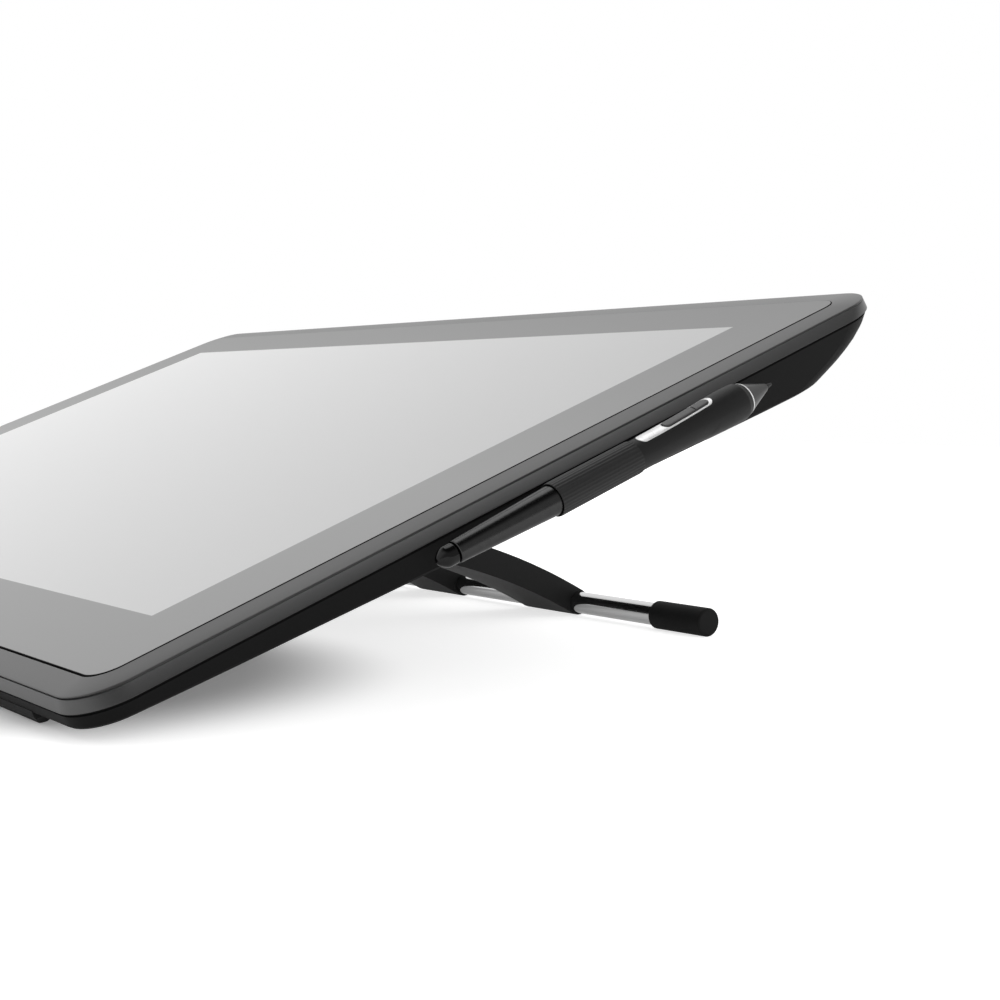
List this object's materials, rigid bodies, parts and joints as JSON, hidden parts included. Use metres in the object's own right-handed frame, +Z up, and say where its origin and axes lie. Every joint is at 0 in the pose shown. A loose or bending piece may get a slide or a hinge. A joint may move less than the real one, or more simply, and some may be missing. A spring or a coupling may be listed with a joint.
{
  "type": "pen drawing tablet",
  "caption": "Large flat pen display with a thin tapered casing, a fold-out stand on a cross tube, and a pen held in an elastic loop at its side.",
  "frame": {"origin": "middle of the flat of the front foot, where it meets the desk", "axes": "+Z up from the desk, +Y away from the user towards the stand tube, +X to the right; the tube, the hinge and the front edge lie along X"},
  "size_m": [0.5829, 0.3551, 0.1505],
  "materials": {
    "bezel": "fine satin texture",
    "glass": "etched anti-glare",
    "panel": "semi matt",
    "tape": "matt foam",
    "tray": "white moulded",
    "board": "solder mask",
    "shield": "rolled sheet",
    "chassis": "zinc plated",
    "chips": "matt",
    "cover": "fine moulded texture",
    "socket": "plated",
    "socket_black": "moulded",
    "light": "clear",
    "button": "satin",
    "screw": "black oxide",
    "rubber": "matt",
    "bracket": "powder coat",
    "arm": "black powder coat",
    "tube": "polished",
    "shaft": "ground",
    "washer": "plain",
    "loop": "ribbed elastic",
    "tail": "satin dark metal",
    "grip": "soft touch",
    "silver": "satin silver",
    "rocker": "satin",
    "nose": "satin",
    "nib": "plain",
    "eraser": "gloss",
    "ferrite": "sintered"
  },
  "bodies": {
    "display": {"front_bezel": "bezel", "cover_glass": "glass", "glass_tape": "tape", "lcd_panel": "panel", "backlight_tray": "tray", "pen_sensor": "board", "sensor_shield": "shield", "chassis": "chassis", "main_board": "board", "board_chips": "chips", "rear_cover": "cover", "port_bay": "socket_black", "hdmi_socket": "socket", "usb_socket": "socket", "power_socket": "socket_black", "status_light": "light", "button_board": "board", "cover_screws": "screw", "front_foot": "rubber", "rear_pads": "rubber", "stand_bracket": "bracket", "bracket_screws": "screw", "hinge_hood": "cover", "right_slot_liner": "socket_black", "left_slot_liner": "socket_black", "slot_plug": "rubber"},
    "power_button": {"power_button": "button"},
    "stand": {"right_arm": "arm", "left_arm": "arm", "stand_tube": "tube", "right_cap": "rubber", "left_cap": "rubber", "hinge_shaft": "shaft", "friction_washers": "washer", "hinge_nuts": "shaft"},
    "loop": {"pen_loop": "loop"},
    "pen": {"tail_barrel": "tail", "pen_grip": "grip", "switch_surround": "silver", "pen_ring": "silver", "nose_cone": "nose", "pen_coil": "ferrite", "pen_circuit": "board"},
    "side_switch": {"side_switch": "rocker"},
    "nib": {"pen_nib": "nib"},
    "eraser": {"pen_eraser": "eraser"}
  },
  "joints": [
    {"name": "stand_hinge", "type": "hinge", "parent": "display", "child": "stand", "pos_m": [0, 0.15887, 0.0414], "axis": [-1, 0, 0], "range_deg": [-12.8, 105]},
    {"name": "loop_pull", "type": "slide", "parent": "display", "child": "loop", "axis": [1, 0, 0], "range_m": [0, 0.02]},
    {"name": "pen_pull", "type": "slide", "parent": "loop", "child": "pen", "axis": [0, 0.9219, 0.3875], "range_m": [0, 0.095]},
    {"name": "power_press", "type": "slide", "parent": "display", "child": "power_button", "axis": [0, -0.9219, -0.3875], "range_m": [0, 0.0007], "stiffness_N_per_m": 1500},
    {"name": "side_switch_rock", "type": "hinge", "parent": "pen", "child": "side_switch", "pos_m": [0.29211, 0.20653, 0.0986], "axis": [0.9613, 0.1068, -0.2541], "range_deg": [-2.5, 2.5], "stiffness_Nm_per_rad": 0.2},
    {"name": "nib_press", "type": "slide", "parent": "pen", "child": "nib", "axis": [0, -0.9219, -0.3875], "range_m": [0, 0.0007], "stiffness_N_per_m": 2500},
    {"name": "eraser_press", "type": "slide", "parent": "pen", "child": "eraser", "axis": [0, 0.9219, 0.3875], "range_m": [0, 0.0005], "stiffness_N_per_m": 2500}
  ]
}
